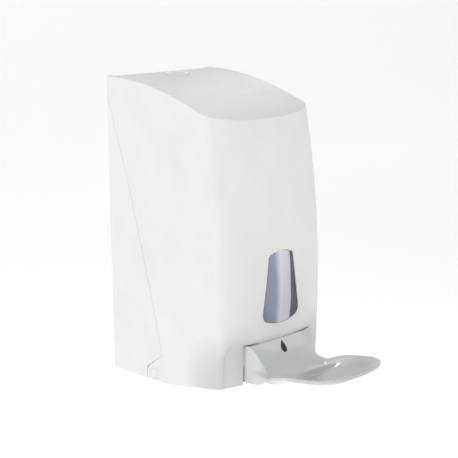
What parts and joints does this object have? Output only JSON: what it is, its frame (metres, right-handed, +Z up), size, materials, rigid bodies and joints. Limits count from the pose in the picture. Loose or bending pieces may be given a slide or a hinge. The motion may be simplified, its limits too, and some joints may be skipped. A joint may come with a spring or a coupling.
{
  "type": "wall mounted soap dispenser",
  "caption": "Wall mounted bulk soap dispenser: hinged cover with sight window, push lever with palm tray, refillable reservoir and hand pump.",
  "frame": {"origin": "centre of the backplate's rear face, on the wall", "axes": "+Y into the wall, front faces -Y, +Z up, +X right for someone facing the front"},
  "size_m": [0.13, 0.2528, 0.2806],
  "materials": {
    "casing": "smooth white moulding, semi-gloss",
    "lever": "glossy pale grey moulding",
    "smoke_window": "clear smoke-tinted moulding, polished",
    "tank_plastic": "natural translucent moulding",
    "pump_plastic": "off-white moulding, satin",
    "rubber": "black rubber, matt",
    "steel": "bright zinc-plated steel",
    "lock_chrome": "polished"
  },
  "bodies": {
    "root": {"backplate": "casing", "lock_catch": "steel", "cover_hinge_pin_left": "casing", "cover_hinge_pin_right": "casing", "pump_bracket": "pump_plastic", "bracket_screw_1": "steel", "bracket_screw_2": "steel", "bracket_screw_3": "steel", "bracket_screw_4": "steel", "reservoir": "tank_plastic", "lid_hinge_pin": "steel", "pump_body": "pump_plastic", "pump_collar_nut": "pump_plastic", "inlet_seal": "rubber", "pump_nozzle": "pump_plastic", "inlet_ball": "steel", "outlet_ball": "steel", "pump_spring": "steel"},
    "cover": {"front_cover": "casing", "sight_window": "smoke_window", "window_frame": "rubber", "lever_pin_left": "steel", "lever_pin_right": "steel", "lock_bezel": "lock_chrome"},
    "lever": {"push_lever": "lever", "push_pad": "pump_plastic"},
    "plunger": {"pump_plunger": "pump_plastic", "plunger_seal": "rubber"},
    "lid": {"reservoir_lid": "pump_plastic", "lid_seal": "rubber"},
    "lock": {"lock_barrel": "lock_chrome", "lock_cam": "steel", "lock_cam_screw": "steel"}
  },
  "joints": [
    {"name": "cover_hinge", "type": "hinge", "parent": "root", "child": "cover", "pos_m": [0, -0.058, -0.1335], "axis": [1, 0, 0], "range_deg": [0, 80]},
    {"name": "lever_hinge", "type": "hinge", "parent": "cover", "child": "lever", "pos_m": [0, -0.141, -0.0955], "axis": [1, 0, 0], "range_deg": [0, 14]},
    {"name": "plunger_slide", "type": "slide", "parent": "root", "child": "plunger", "axis": [0, 1, 0], "range_m": [0, 0.0049], "stiffness_N_per_m": 400, "springref_m": -0.006, "deforming": ["pump_spring"]},
    {"name": "lid_hinge", "type": "hinge", "parent": "root", "child": "lid", "pos_m": [0, -0.022, 0.0557], "axis": [-1, 0, 0], "range_deg": [0, 90]},
    {"name": "lock_turn", "type": "hinge", "parent": "cover", "child": "lock", "pos_m": [0, -0.025, 0.1402], "axis": [0, 0, 1], "range_deg": [0, 90]}
  ],
  "couplings": [
    {"joint": "plunger_slide", "follows": "lever_hinge", "m_per_rad": 0.02}
  ]
}
